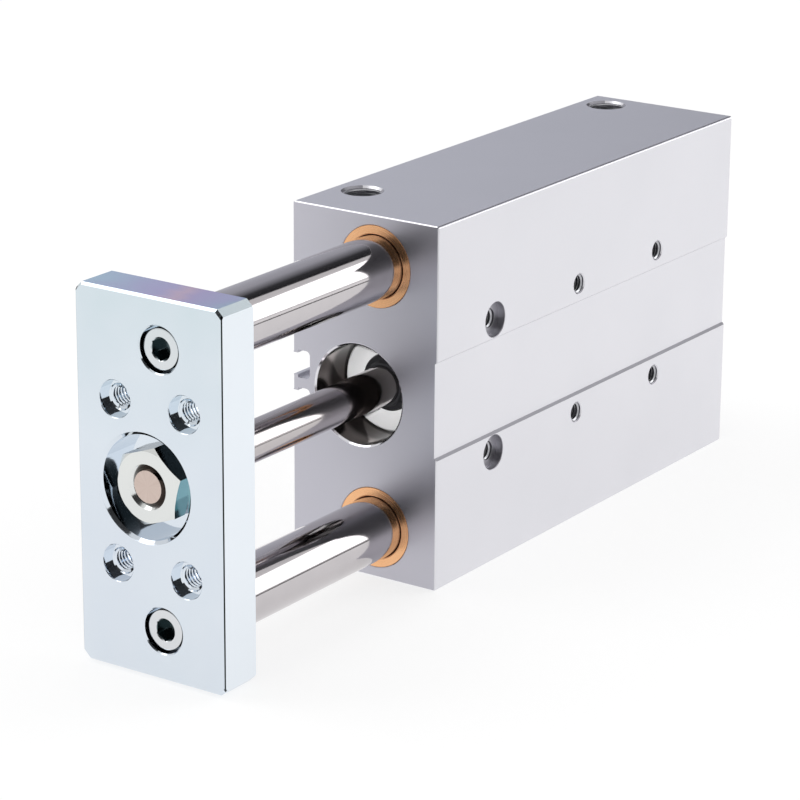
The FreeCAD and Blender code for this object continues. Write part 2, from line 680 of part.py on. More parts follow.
def make_piston():
    radius = s.piston_radius
    root = s.piston_seal_root
    land = s.piston_seal_land
    seal = s.piston_seal_width
    front = piston_front
    back = piston_end
    # front half: seal groove, wear-ring groove and the seat of the static O-ring round the spigot
    wear_start = front + land + seal + 1.0
    wear_end = wear_start + s.wear_width
    revolve("piston_front_half", [
        (front, s.spigot_radius), (front, radius - s.piston_chamfer), (front + s.piston_chamfer, radius),
        (front + land, radius), (front + land, root), (front + land + seal, root),
        (front + land + seal, radius), (wear_start, radius), (wear_start, s.wear_root),
        (wear_end, s.wear_root), (magnet_start, s.wear_root), (magnet_start, s.magnet_inner),
        (magnet_middle, s.magnet_inner), (magnet_middle, s.spigot_radius + s.static_seal_height),
        (magnet_middle - s.static_seal_length, s.spigot_radius + s.static_seal_height),
        (magnet_middle - s.static_seal_length, s.spigot_radius)],
        piston_axis())
    # rear half: seal groove and a dished back for the nut
    revolve("piston_rear_half", [
        (magnet_middle, s.spigot_radius), (magnet_middle, s.magnet_inner), (magnet_end, s.magnet_inner),
        (magnet_end, radius), (back - land - seal, radius), (back - land - seal, root),
        (back - land, root), (back - land, radius), (back - s.piston_chamfer, radius),
        (back, radius - s.piston_chamfer),
        (back, s.piston_dish), (nut_seat, s.piston_dish), (nut_seat, s.spigot_radius)],
        piston_axis())
    revolve("magnet_ring", [
        (magnet_start, s.magnet_inner), (magnet_start, s.magnet_outer), (magnet_end, s.magnet_outer),
        (magnet_end, s.magnet_inner)], piston_axis())
    revolve("wear_ring", [
        (wear_start, s.wear_root), (wear_start, s.piston_seal_outer), (wear_end, s.piston_seal_outer),
        (wear_end, s.wear_root)], piston_axis())
    # lip seals: the lips open away from the middle of the piston
    for name, closed, opened in (("front_piston_seal", front + land + seal, front + land),
                                 ("rear_piston_seal", back - land - seal, back - land)):
        way = 1 if name.startswith("rear") else -1
        revolve(name, [
            (closed, root), (closed, s.piston_seal_outer - 0.4),
            (closed + 0.5 * way, s.piston_seal_outer - 0.4),
            (opened, s.piston_seal_outer), (opened, s.piston_seal_outer - 0.8),
            (opened - 1.5 * way, (s.piston_seal_outer + root) / 2), (opened, root + 0.8), (opened, root)],
            piston_axis())
    ring_outer = s.spigot_radius + s.static_seal_height - s.static_seal_squeeze
    ring_start = magnet_middle - s.static_seal_length + s.static_seal_squeeze
    ring_end = magnet_middle - s.static_seal_squeeze
    revolve("piston_o_ring", [
        (ring_start, s.spigot_radius), (ring_start, ring_outer), (ring_end, ring_outer),
        (ring_end, s.spigot_radius)], piston_axis())


make_piston()


# ---------------------------------------------------------------------------------------------------
# Nuts and screws
# ---------------------------------------------------------------------------------------------------
def make_nut(name, start, height, flats, turn, core, sink):
    """Hexagon nut: both faces turned to a cone that takes the corners off, countersunk thread."""
    body = new_body(name)
    sketch = new_sketch(body, name + "_hexagon", "XZ_Plane", -start)
    draw_polygon(sketch, hexagon((ZERO, ZERO), flats, turn))
    extrude(body, sketch, name + "_prism", height, True)
    hole = new_sketch(body, name + "_hole", "XZ_Plane", -start)
    draw_circle(hole, (ZERO, ZERO), core)
    cut(body, hole, name + "_bore", height)
    end = start + height
    reach = flats * 0.62
    lean = s.nut_cone
    for which, face, way in (("front", start, 1), ("rear", end, -1)):
        ring = flats / 2 * 1.01
        cone = new_sketch(body, "%s_%s_cone" % (name, which), "XY_Plane")
        draw_polygon(cone, [(ring, face), (reach, face), (reach, face + (reach - ring) * lean * 2 * way)])
        turn_off(body, cone, "%s_%s_corners" % (name, which))
        sinker = new_sketch(body, "%s_%s_sinker" % (name, which), "XY_Plane")
        draw_polygon(sinker, [(core - 0.1, face), (core + sink, face), (core - 0.1, face + (sink + 0.1) * way)])
        turn_off(body, sinker, "%s_%s_countersink" % (name, which))
    put(body, piston_axis())


def turn_off(body, sketch, name):
    """A full groove round the sketch's vertical axis; it must remove material."""
    doc.recompute()
    before = body.Shape.Volume
    groove = body.newObject("PartDesign::Groove", name)
    groove.Profile = sketch
    groove.ReferenceAxis = (sketch, ["V_Axis"])
    groove.Angle = 360.0
    doc.recompute()
    if body.Shape.Volume >= before - 1e-6:
        raise ValueError("groove %s removed nothing" % name)


make_nut("rod_nut", plate_front + s.nut_pocket_depth - s.nut_height, s.nut_height, s.nut_flats,
         s.nut_turn, s.rod_thread_radius, s.nut_sink)
make_nut("piston_nut", nut_seat, s.piston_nut_height - s.piston_nut_gap, s.piston_nut_flats, s.nut_turn,
         s.spigot_radius, s.piston_nut_sink)


def make_screws():
    """Two socket cap screws, one in the end of each guide rod; they share one node."""
    seat = plate_front + s.screw_pocket_depth
    top = seat - s.screw_head_height
    tip = seat + s.screw_length
    parts = []
    for level, side in (("upper", 1), ("lower", -1)):
        body = doc.addObject("PartDesign::Body", level + "_rod_screw")
        sketch = new_sketch(body, level + "_screw_outline", "XY_Plane")
        outline = [
            (top, ZERO), (top, s.screw_head_radius - s.screw_edge),
            (top + s.screw_edge * 0.3, s.screw_head_radius - s.screw_edge * 0.3),
            (top + s.screw_edge, s.screw_head_radius), (seat - 0.2, s.screw_head_radius),
            (seat, s.screw_head_radius - 0.2), (seat, s.screw_shank), (tip - 0.6, s.screw_shank),
            (tip, s.screw_shank - 0.6), (tip, ZERO)]
        draw_polygon(sketch, [(radius, depth) for depth, radius in outline])
        turned = body.newObject("PartDesign::Revolution", level + "_screw_turned")
        turned.Profile = sketch
        turned.ReferenceAxis = (sketch, ["V_Axis"])
        turned.Angle = 360.0
        socket = new_sketch(body, level + "_socket_hexagon", "XZ_Plane", -top)
        draw_polygon(socket, hexagon((ZERO, ZERO), s.socket_flats, s.socket_turn))
        cut(body, socket, level + "_socket", s.socket_depth)
        mouth = new_sketch(body, level + "_socket_mouth", "XY_Plane")
        reach = s.socket_flats * 0.5774
        draw_polygon(mouth, [(ZERO, top), (reach, top), (reach - 0.35, top + 0.35), (ZERO, top + 0.35)])
        turn_off(body, mouth, level + "_socket_lead")
        put(body, guide_axis(side))
        parts.append(body)
    doc.recompute()
    both = doc.addObject("Part::Compound", "guide_rod_screws")
    both.Label = "guide_rod_screws"
    both.Links = parts
    finished.append(both)


make_screws()

# ---------------------------------------------------------------------------------------------------
# Check everything, then write one file per piece
# ---------------------------------------------------------------------------------------------------
doc.recompute()
for item in doc.Objects:
    if "Invalid" in item.State or "Error" in item.State:
        raise ValueError("%s failed: %s" % (item.Name, item.State))
for piece in finished:
    if piece.Shape.isNull() or not piece.Shape.isValid():
        raise ValueError("%s has no valid shape" % piece.Label)

os.makedirs("parts", exist_ok=True)
for piece in finished:
    piece.Shape.exportStep("parts/%s.step" % piece.Label)
    print("%-22s %10.2f mm3  %d solid(s)" % (piece.Label, piece.Shape.Volume, len(piece.Shape.Solids)))
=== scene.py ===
import math

import bmesh
import bpy
from mathutils import Matrix, Vector


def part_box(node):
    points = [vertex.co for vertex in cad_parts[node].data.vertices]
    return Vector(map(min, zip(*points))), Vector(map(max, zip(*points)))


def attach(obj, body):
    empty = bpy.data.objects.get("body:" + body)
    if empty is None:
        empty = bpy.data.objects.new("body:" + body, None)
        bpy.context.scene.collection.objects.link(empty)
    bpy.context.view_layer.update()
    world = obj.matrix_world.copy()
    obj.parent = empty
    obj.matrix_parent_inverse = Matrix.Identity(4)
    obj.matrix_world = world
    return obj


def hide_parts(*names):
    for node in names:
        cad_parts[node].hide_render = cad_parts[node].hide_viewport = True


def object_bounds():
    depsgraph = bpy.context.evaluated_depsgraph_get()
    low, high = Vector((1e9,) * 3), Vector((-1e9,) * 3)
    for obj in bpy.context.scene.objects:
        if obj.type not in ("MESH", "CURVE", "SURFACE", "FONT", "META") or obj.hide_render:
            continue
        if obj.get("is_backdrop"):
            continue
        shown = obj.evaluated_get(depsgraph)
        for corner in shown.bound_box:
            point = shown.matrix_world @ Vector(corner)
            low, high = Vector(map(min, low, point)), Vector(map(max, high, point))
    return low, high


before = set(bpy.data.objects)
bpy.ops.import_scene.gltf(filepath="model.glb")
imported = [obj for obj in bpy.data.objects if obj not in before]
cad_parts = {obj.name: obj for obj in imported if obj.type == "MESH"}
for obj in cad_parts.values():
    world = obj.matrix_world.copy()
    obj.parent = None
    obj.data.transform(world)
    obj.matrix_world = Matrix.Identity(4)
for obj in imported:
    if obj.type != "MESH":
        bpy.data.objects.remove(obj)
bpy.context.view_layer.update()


# ==== Cylinder body ================================================================================
# The body is a length of extruded aluminium bar, sawn, milled on both ends and bored through.
# It is glass-bead blasted very finely and clear anodised, so it is satin and slightly cool in tone.
# Its holes keep the small turned chamfers that the drill and countersink leave.
MM = 0.001
block_low, block_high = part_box("cylinder_body")
front_y = block_low.y
centre_z = (block_low.z + block_high.z) / 2
ANODISED = "#E8E7EC"
ANODISED_SHADE = "#E0E0E5"
ANODISED_END_PAINTED_SHADE = "#C6C5CE"
ANODISED_BEVEL_PAINTED_SHADE = "#A6A5AC"
BORE_X = -1.8
BORE_REACH = 13.6
CENTRING_DEPTH = 26.0
CENTRING_HALF_HEIGHT = 17.5
CENTRING_REACH = 4.7
WELD = 0.002 * MM
RIM_WIDTH = 0.25 * MM
LONG_EDGE_ROUND = 0.6 * MM


def colour(text):
    """A linear colour with alpha, from the usual six letters."""
    parts = [int(text[i:i + 2], 16) / 255 for i in (1, 3, 5)]
    return tuple((c / 12.92 if c <= 0.04045 else ((c + 0.055) / 1.055) ** 2.4) for c in parts) + (1.0,)


class Wire:
    """One output in a finish's node tree; arithmetic on it adds Math nodes."""

    def __init__(self, finish, socket):
        self.finish = finish
        self.socket = socket

    def _math(self, operation, *values):
        return self.finish.node("ShaderNodeMath", {"operation": operation}, dict(enumerate(values)))

    def __add__(self, other):
        return self._math("ADD", self, other)

    def __radd__(self, other):
        return self._math("ADD", other, self)

    def __sub__(self, other):
        return self._math("SUBTRACT", self, other)

    def __rsub__(self, other):
        return self._math("SUBTRACT", other, self)

    def __mul__(self, other):
        return self._math("MULTIPLY", self, other)

    def __rmul__(self, other):
        return self._math("MULTIPLY", other, self)

    def __truediv__(self, other):
        return self._math("DIVIDE", self, other)

    def __rtruediv__(self, other):
        return self._math("DIVIDE", other, self)

    def __pow__(self, other):
        return self._math("POWER", self, other)

    def __gt__(self, other):
        return self._math("GREATER_THAN", self, other)

    def __lt__(self, other):
        return self._math("LESS_THAN", self, other)

    def __abs__(self):
        return self._math("ABSOLUTE", self)


class Finish:
    """A surface finish: one Principled shader and the nodes that feed it."""

    def __init__(self, name, **constants):
        self.material = bpy.data.materials.new(name)
        self.material.use_nodes = True
        self.tree = self.material.node_tree
        self.tree.nodes.clear()
        self.shader = self.tree.nodes.new("ShaderNodeBsdfPrincipled")
        output = self.tree.nodes.new("ShaderNodeOutputMaterial")
        self.tree.links.new(self.shader.outputs[0], output.inputs["Surface"])
        for socket, value in constants.items():
            self.shader.inputs[socket.replace("_", " ")].default_value = value

    def node(self, kind, settings=None, values=None, output=0):
        """Adds a node: its settings first, then the value or wire of each socket."""
        made = self.tree.nodes.new(kind)
        for key, value in (settings or {}).items():
            if key == "stops":
                while len(made.color_ramp.elements) < len(value):
                    made.color_ramp.elements.new(1.0)
                for stop, (place, shade) in zip(made.color_ramp.elements, value):
                    stop.position = place
                    stop.color = shade
            else:
                setattr(made, key, value)
        for key, value in (values or {}).items():
            self.join(value, made.inputs[key])
        return Wire(self, made.outputs[output])

    def join(self, value, socket):
        if isinstance(value, Wire):
            self.tree.links.new(value.socket, socket)
        else:
            socket.default_value = value

    def feed(self, socket, wire):
        self.join(wire, self.shader.inputs[socket])

    def place(self, centre=(0.0, 0.0, 0.0)):
        """The point on the piece in millimetres, counted from the centre given in metres."""
        here = self.node("ShaderNodeTexCoord", output="Object")
        offset = tuple(-c for c in centre)
        moved = self.node("ShaderNodeMapping", {}, {"Vector": here, "Location": offset})
        return self.node("ShaderNodeVectorMath", {"operation": "SCALE"}, {0: moved, "Scale": 1000.0})

    def noise(self, place, scale, detail=2.0, roughness=0.5):
        return self.node("ShaderNodeTexNoise", {},
                         {"Vector": place, "Scale": scale, "Detail": detail, "Roughness": roughness})

    def stretched(self, place, factors):
        return self.node("ShaderNodeVectorMath", {"operation": "MULTIPLY"}, {0: place, 1: factors})

    def axis(self, place, letter):
        return self.node("ShaderNodeSeparateXYZ", {}, {0: place}, letter.upper())

    def mix(self, factor, first, second):
        """A colour between two others."""
        return self.node("ShaderNodeMix", {"data_type": "RGBA"}, {0: factor, 6: first, 7: second}, 2)

    def bump(self, height, strength, distance):
        """Feeds Normal from a height; distance is the depth of the relief in metres."""
        bent = self.node("ShaderNodeBump", {},
                         {"Height": height, "Strength": strength, "Distance": distance})
        self.feed("Normal", bent)


def anodised(name):
    """Clear anodised, finely blasted aluminium; the honed bore's mouth is smoother. Painted shade darkens
    the end faces, the long edges, the bore and the centring holes.
    """
    made = Finish(name, Metallic=1.0)
    here = made.place()
    grain = made.noise(here, 5.0, 3.0, 0.6)
    cloud = made.noise(here, 0.035, 2.0)
    speck = made.noise(here, 1.6, 2.0)
    base = made.mix(cloud * 0.8 + speck * 0.2, colour(ANODISED), colour(ANODISED_SHADE))
    facing = made.node("ShaderNodeNewGeometry", output="Normal")
    # Painted shade: the end faces are given a darker tone.
    base = made.mix(abs(made.axis(facing, "y")) > 0.9, base, colour(ANODISED_END_PAINTED_SHADE))
    # Painted shade: the long rounded edges and their chamfers are toned down to dim their highlight.
    bevel = (abs(made.axis(facing, "x")) > 0.4) * (made.axis(facing, "z") > 0.4)
    base = made.mix(bevel, base, colour(ANODISED_BEVEL_PAINTED_SHADE))
    from_bore = made.place((BORE_X * MM, front_y, centre_z))
    x = made.axis(from_bore, "x")
    z = made.axis(from_bore, "z")
    honed = (x * x + z * z) ** 0.5 < BORE_REACH
    # Painted shade: the bore's wall darkens with depth from its mouth.
    depth = made.node("ShaderNodeMapRange", {"interpolation_type": "SMOOTHSTEP"},
                      {0: made.axis(from_bore, "y"), 1: 3.5, 2: 7.5})
    bore_painted_shade = made.mix(depth, colour("#B5ABA8"), colour("#3B3533"))
    base = made.mix(honed * (made.axis(from_bore, "y") > 0.5), base, bore_painted_shade)
    # Painted shade inside the centring counterbores on the side face.
    from_hole = made.place((block_high.x, front_y + CENTRING_DEPTH * MM, centre_z))
    y = made.axis(from_hole, "y")
    z = abs(made.axis(from_hole, "z")) - CENTRING_HALF_HEIGHT
    x = made.axis(from_hole, "x")
    sunk = ((y * y + z * z) ** 0.5 < CENTRING_REACH) * (x < -0.05) * (x > -3.0)
    base = made.mix(sunk, base, colour("#B9B8BE"))
    made.feed("Base Color", base)
    made.feed("Roughness", (0.3 + grain * 0.06 + cloud * 0.04) * (1.0 - honed * 0.72))
    made.bump(grain, 0.2, 0.00001)
    return made.material


def own_mesh(name, source):
    """An object with its own welded copy of a CAD node's mesh."""
    made = bpy.data.objects.new(name, source.data.copy())
    bpy.context.scene.collection.objects.link(made)
    work = bmesh.new()
    work.from_mesh(made.data)
    bmesh.ops.remove_doubles(work, verts=work.verts, dist=WELD)
    work.to_mesh(made.data)
    work.free()
    return made


def shade(piece, finish, angle=24.0):
    """Smooth shading with crisp edges at the angle given; large faces keep their own direction."""
    work = bmesh.new()
    work.from_mesh(piece.data)
    for face in work.faces:
        face.smooth = True
    for edge in work.edges:
        sharp = len(edge.link_faces) != 2 or edge.calc_face_angle(0.0) > math.radians(angle)
        edge.smooth = not sharp
    work.to_mesh(piece.data)
    work.free()
    modifier = piece.modifiers.new("face_weights", "WEIGHTED_NORMAL")
    modifier.keep_sharp = True
    piece.data.materials.clear()
    piece.data.materials.append(finish)
    for face in piece.data.polygons:
        face.material_index = 0


def fit(piece, body, slot, *nodes):
    """Hangs a finished piece on its body and hides the CAD nodes that it stands for."""
    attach(piece, body)
    if nodes:
        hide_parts(*nodes)


def break_rims(piece, width, corner):
    """Breaks the outer edges at both ends of the block; corner is the round of its long edges."""
    middle = (block_low + block_high) / 2
    half = (block_high - block_low) / 2
    near = 0.01 * MM
    work = bmesh.new()
    work.from_mesh(piece.data)
    bmesh.ops.dissolve_limit(work, angle_limit=math.radians(0.05), verts=work.verts, edges=work.edges)
    rims = []
    for edge in work.edges:
        ends = [v.co - middle for v in edge.verts]
        across = abs(ends[0].x + ends[1].x) / 2
        upright = abs(ends[0].z + ends[1].z) / 2
        at_end = all(half.y - abs(end.y) < near for end in ends)
        on_flat = half.x - across < near or half.z - upright < near
        on_corner = half.x - across < corner and half.z - upright < corner
        if at_end and (on_flat or on_corner) and edge.calc_face_angle(0.0) > 1.0:
            rims.append(edge)
    bmesh.ops.bevel(work, geom=rims, offset=width, offset_type="OFFSET", segments=1, affect="EDGES")
    bmesh.ops.triangulate(work, faces=work.faces)
    work.to_mesh(piece.data)
    work.free()


body_piece = own_mesh("cylinder_body_shell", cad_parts["cylinder_body"])
break_rims(body_piece, RIM_WIDTH, LONG_EDGE_ROUND)
shade(body_piece, anodised("clear_anodised_aluminium"))
fit(body_piece, "housing", "anodised_aluminium", "cylinder_body")


# ==== Tapped holes =================================================================================
# The side holes are M5 and the two air ports on top are G 1/8, all cut with a tap after anodising.
# Each thread is one ridge that climbs round the drilled hole, with the tap's 60 degree flanks.
SIDE_PITCH = 40.0
SIDE_TAP = 2.5
SIDE_THREAD_PITCH = 0.8
THREAD_SINK = 0.45
CENTRING_STEP = 2.0
PORT_PLACES = ((-13.3, 18.0), (-13.3, 136.1))
PORT_RADIUS = 4.864
PORT_THREAD_PITCH = 0.907
PORT_THREAD_SINK = 0.8


def thread_tree():
    """A thread ridge along a helix, repeated at each point of the input mesh."""
    tree = bpy.data.node_groups.new("thread_ridge", "GeometryNodeTree")
    face = tree.interface
    face.new_socket("Geometry", in_out="INPUT", socket_type="NodeSocketGeometry")
    for title in ("Radius", "Pitch", "Turns", "Height", "Root Width", "Crest Width"):
        face.new_socket(title, in_out="INPUT", socket_type="NodeSocketFloat")
    face.new_socket("Turn", in_out="INPUT", socket_type="NodeSocketVector")
    face.new_socket("Material", in_out="INPUT", socket_type="NodeSocketMaterial")
    face.new_socket("Geometry", in_out="OUTPUT", socket_type="NodeSocketGeometry")
    given = tree.nodes.new("NodeGroupInput").outputs

    def step(kind, settings=None, links=None):
        made = tree.nodes.new(kind)
        for key, value in (settings or {}).items():
            setattr(made, key, value)
        for key, value in (links or {}).items():
            if isinstance(value, bpy.types.NodeSocket):
                tree.links.new(value, made.inputs[key])
            else:
                made.inputs[key].default_value = value
        return made.outputs

    def sum_of(operation, first, second):
        return step("ShaderNodeMath", {"operation": operation}, {0: first, 1: second})[0]

    rise = sum_of("MULTIPLY", given["Pitch"], given["Turns"])
    helix = step("GeometryNodeCurveSpiral", {}, {
        "Resolution": 56, "Rotations": given["Turns"], "Start Radius": given["Radius"],
        "End Radius": given["Radius"], "Height": rise})[0]
    upright = step("GeometryNodeSetCurveNormal", {"mode": "Z_UP"}, {"Curve": helix})[0]
    along = step("GeometryNodeSplineParameter")["Factor"]
    turned_by = sum_of("MULTIPLY", along, given["Turns"])
    left_over = sum_of("SUBTRACT", given["Turns"], turned_by)
    nearest = sum_of("MINIMUM", turned_by, left_over)
    swell = step("ShaderNodeMapRange", {"clamp": True}, {
        "Value": nearest, "From Min": 0.0, "From Max": 0.45, "To Min": 0.04, "To Max": 1.0})[0]
    corners = []
    for side in (-0.5, 0.5):
        root = sum_of("MULTIPLY", given["Root Width"], side)
        crest = sum_of("MULTIPLY", given["Crest Width"], side)
        corners.append((root, crest))
    outline = step("GeometryNodeCurvePrimitiveQuadrilateral", {"mode": "POINTS"}, {
        "Point 1": step("ShaderNodeCombineXYZ", {}, {0: 0.0, 1: corners[0][0]})[0],
        "Point 2": step("ShaderNodeCombineXYZ", {}, {0: given["Height"], 1: corners[0][1]})[0],
        "Point 3": step("ShaderNodeCombineXYZ", {}, {0: given["Height"], 1: corners[1][1]})[0],
        "Point 4": step("ShaderNodeCombineXYZ", {}, {0: 0.0, 1: corners[1][0]})[0]})[0]
    ridge = step("GeometryNodeCurveToMesh", {}, {
        "Curve": upright, "Profile Curve": outline, "Scale": swell, "Fill Caps": True})[0]
    copies = step("GeometryNodeInstanceOnPoints", {}, {
        "Points": given["Geometry"], "Instance": ridge, "Rotation": given["Turn"]})[0]
    real = step("GeometryNodeRealizeInstances", {}, {"Geometry": copies})[0]
    dressed = step("GeometryNodeSetMaterial", {}, {"Geometry": real, "Material": given["Material"]})[0]
    output = tree.nodes.new("NodeGroupOutput")
    tree.links.new(dressed, output.inputs[0])
    return tree


def grown(name, seed, tree, values):
    """Runs a Geometry Nodes tree on a seed mesh and keeps the plain mesh that comes out."""
    carrier = bpy.data.objects.new(name + "_seed", seed)
    bpy.context.scene.collection.objects.link(carrier)
    modifier = carrier.modifiers.new("grow", "NODES")
    modifier.node_group = tree
    for item in tree.interface.items_tree:
        if item.item_type == "SOCKET" and item.in_out == "INPUT" and item.name in values:
            modifier[item.identifier] = values[item.name]
    graph = bpy.context.evaluated_depsgraph_get()
    mesh = bpy.data.meshes.new_from_object(carrier.evaluated_get(graph), depsgraph=graph)
    bpy.data.objects.remove(carrier)
    piece = bpy.data.objects.new(name, mesh)
    bpy.context.scene.collection.objects.link(piece)
    return piece


def points_mesh(name, points):
    mesh = bpy.data.meshes.new(name)
    mesh.from_pydata([tuple(c * MM for c in p) for p in points], [], [])
    return mesh


def thread(name, starts, turn, radius, pitch, turns, finish, outside=False):
    """A 60 degree thread that starts at each point and runs along the turned Z direction."""
    height = 0.5413 * pitch  # five eighths of the sharp triangle
    piece = grown(name, points_mesh(name + "_starts", starts), THREAD, {
        "Radius": radius * MM, "Pitch": pitch * MM, "Turns": float(turns),
        "Height": (-height if outside else height) * MM, "Root Width": 0.875 * pitch * MM,
        "Crest Width": 0.25 * pitch * MM, "Turn": turn, "Material": finish})
    work = bmesh.new()
    work.from_mesh(piece.data)
    bmesh.ops.remove_doubles(work, verts=work.verts, dist=0.0000005)
    bmesh.ops.recalc_face_normals(work, faces=work.faces)
    work.to_mesh(piece.data)
    work.free()
    shade(piece, finish)
    return piece


def cut_metal(name, tone, shine=0.22):
    """Bare metal fresh from the tap: bright, with fine scores."""
    made = Finish(name, Metallic=1.0)
    here = made.place()
    scores = made.noise(made.stretched(here, (6.0, 6.0, 6.0)), 1.0, 3.0, 0.7)
    made.feed("Base Color", made.mix(scores, colour(tone), colour("#8E8F94")))
    made.feed("Roughness", shine + scores * 0.15)
    made.bump(scores, 0.2, 0.00005)
    return made.material


THREAD = thread_tree()
TAPPED = cut_metal("tapped_aluminium", "#D8D8DC")
face_x = block_high.x / MM
starts = []
for column in range(3):
    sink = THREAD_SINK if column else THREAD_SINK + CENTRING_STEP
    for k in (1, -1):
        starts.append((face_x - sink, front_y / MM + CENTRING_DEPTH + SIDE_PITCH * column,
                       centre_z / MM + CENTRING_HALF_HEIGHT * k))
side_threads = thread("side_hole_threads", starts, (0.0, -math.pi / 2, 0.0), SIDE_TAP,
                      SIDE_THREAD_PITCH, 13, TAPPED)
fit(side_threads, "housing", "anodised_aluminium")
top = block_high.z / MM
starts = [(x, front_y / MM + d, top - PORT_THREAD_SINK) for x, d in PORT_PLACES]
port_threads = thread("port_threads", starts, (math.pi, 0.0, 0.0), PORT_RADIUS,
                      PORT_THREAD_PITCH, 8, TAPPED)
fit(port_threads, "housing", "anodised_aluminium")


# ==== Guide bushes =================================================================================
# Four sintered bronze sleeves, pressed into the guide bores in pairs and sized with a burnisher.
# The face is turned smooth and both rims are broken; the metal holds oil. The bore and both edges of the
# face carry painted shade.
GUIDE_X = 3.0
GUIDE_HALF_HEIGHT = 34.0
guide_axes = {"upper": (GUIDE_X, centre_z / MM + GUIDE_HALF_HEIGHT),
              "lower": (GUIDE_X, centre_z / MM - GUIDE_HALF_HEIGHT)}
FRONT = front_y / MM
BUSH_BORE = 8.03
BUSH_MOUTH = 0.35
ON_AXIS = 0.000001


def turned(name, outline, axis, around=192):
    """A turned piece: outline is (depth from the block's front face, radius), closed on itself."""
    mesh = bpy.data.meshes.new(name)
    work = bmesh.new()
    rings = []
    for depth, radius in outline:
        y = (FRONT + depth) * MM
        if radius < ON_AXIS:
            rings.append([work.verts.new((axis[0] * MM, y, axis[1] * MM))])
            continue
        ring = []
        for k in range(around):
            angle = 2 * math.pi * k / around
            x = (axis[0] + radius * math.cos(angle)) * MM
            z = (axis[1] + radius * math.sin(angle)) * MM
            ring.append(work.verts.new((x, y, z)))
        rings.append(ring)
    for first, second in zip(rings, rings[1:] + rings[:1]):
        if len(first) == 1 and len(second) == 1:
            continue
        for k in range(around):
            after = (k + 1) % around
            corners = [first[k % len(first)], first[after % len(first)],
                       second[after % len(second)], second[k % len(second)]]
            work.faces.new(list(dict.fromkeys(corners)))
    bmesh.ops.recalc_face_normals(work, faces=work.faces)
    work.to_mesh(mesh)
    work.free()
    piece = bpy.data.objects.new(name, mesh)
    bpy.context.scene.collection.objects.link(piece)
    return piece


def eased(outline, radius, steps=4):
    """The same outline with each corner rounded, as a deburred edge is."""
    rounded = []
    count = len(outline)
    for i in range(count):
        before, here, after = (Vector(outline[(i + k) % count]) for k in (-1, 0, 1))
        if here.y < ON_AXIS:
            rounded.append(tuple(here))
            continue
        back = before - here
        ahead = after - here
        reach = min(radius, back.length * 0.45, ahead.length * 0.45)
        start = here + back.normalized() * reach
        end = here + ahead.normalized() * reach
        for k in range(steps + 1):
            t = k / steps
            point = start * (1 - t) ** 2 + here * 2 * t * (1 - t) + end * t ** 2
            rounded.append((point.x, point.y))
    return rounded


def turned_metal(name, tone, shade_tone, axis, shine, rims=None, metallic=1.0):
    """Turned metal: fine rings round the axis on the faces, and a slow drift in tone.

    rims is an inner radius, an outer radius and the tone of the painted shade at both edges."""
    made = Finish(name, Metallic=metallic)
    here = made.place((axis[0] * MM, 0.0, axis[1] * MM))
    x = made.axis(here, "x")
    z = made.axis(here, "z")
    reach = (x * x + z * z) ** 0.5
    rings = 9.0
    line = made.node("ShaderNodeCombineXYZ", {}, {0: reach * rings, 1: made.axis(here, "y") * rings})
    marks = made.noise(line, 1.0, 2.0, 0.6)
    cloud = made.noise(here, 0.25, 3.0)
    base = made.mix(cloud * 0.7 + marks * 0.3, colour(tone), colour(shade_tone))
    if rims:
        inner, outer, dark = rims
        # Painted shade: the bore with its mouth chamfer, and a line round the outer edge, are darkened.
        edge = (reach < inner + 0.16) + (reach > outer - 0.1)
        base = made.mix(edge, base, colour(dark))
    made.feed("Base Color", base)
    made.feed("Roughness", shine + marks * 0.08 + cloud * 0.05)
    made.bump(marks, 0.3, 0.00004)
    return made.material


for level, axis in guide_axes.items():
    low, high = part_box(level + "_front_bush")
    start = low.y / MM - FRONT
    end = high.y / MM - FRONT
    outer = (high.x - low.x) / 2 / MM
    sleeve = [(start, BUSH_BORE + BUSH_MOUTH), (start, outer), (end, outer), (end, BUSH_BORE),
              (start + BUSH_MOUTH, BUSH_BORE)]
    bush = turned(level + "_bush_sleeve", eased(sleeve, 0.18), axis)
    shade(bush, turned_metal(level + "_sintered_bronze", "#FFCB9B", "#F3B380", axis, 0.2,
                             rims=(BUSH_BORE, outer, "#7A4E36")))
    fit(bush, "housing", "bronze", level + "_front_bush")
    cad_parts[level + "_inner_bush"].data.materials[0] = bush.data.materials[0]


# ==== Front gland ==================================================================================
# A turned aluminium gland sits 13 mm down the bore, held by a wire and sealed with an O-ring.
# Its face is turned bright. A rubber wiper with a thin lip stands out round the rod.
bore_axis = (BORE_X, centre_z / MM)
BORE_MOUTH = 13.0
SEAL_SEAT = 8.5
WIPER_SEAT = 7.5
WIPER_LENGTH = 1.8
WIPER_BORE = 5.04
low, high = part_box("front_gland")
gland_face = low.y / MM - FRONT
gland_end = high.y / MM - FRONT
wiper_back = gland_face + WIPER_LENGTH
land = [(gland_face, WIPER_SEAT), (gland_face, BORE_MOUTH - 0.5), (gland_face + 0.5, BORE_MOUTH),
        (gland_end, BORE_MOUTH), (gland_end, SEAL_SEAT), (wiper_back, SEAL_SEAT),
        (wiper_back, WIPER_SEAT)]
gland = turned("gland_face", eased(land, 0.12), bore_axis)
shade(gland, turned_metal("turned_aluminium", "#FBFBFB", "#F2F2F3", bore_axis, 0.3, metallic=0.3))
fit(gland, "housing", "bright_aluminium", "front_gland")


def rubber(name, tone="#1B1B1D", shine=0.48):
    """Moulded seal rubber, a little dusty from assembly grease."""
    made = Finish(name)
    here = made.place()
    skin = made.noise(here, 3.0, 3.0)
    made.feed("Base Color", made.mix(skin, colour(tone), colour("#2C2C2F")))
    made.feed("Roughness", shine + skin * 0.12)
    made.bump(skin, 0.2, 0.00004)
    return made.material


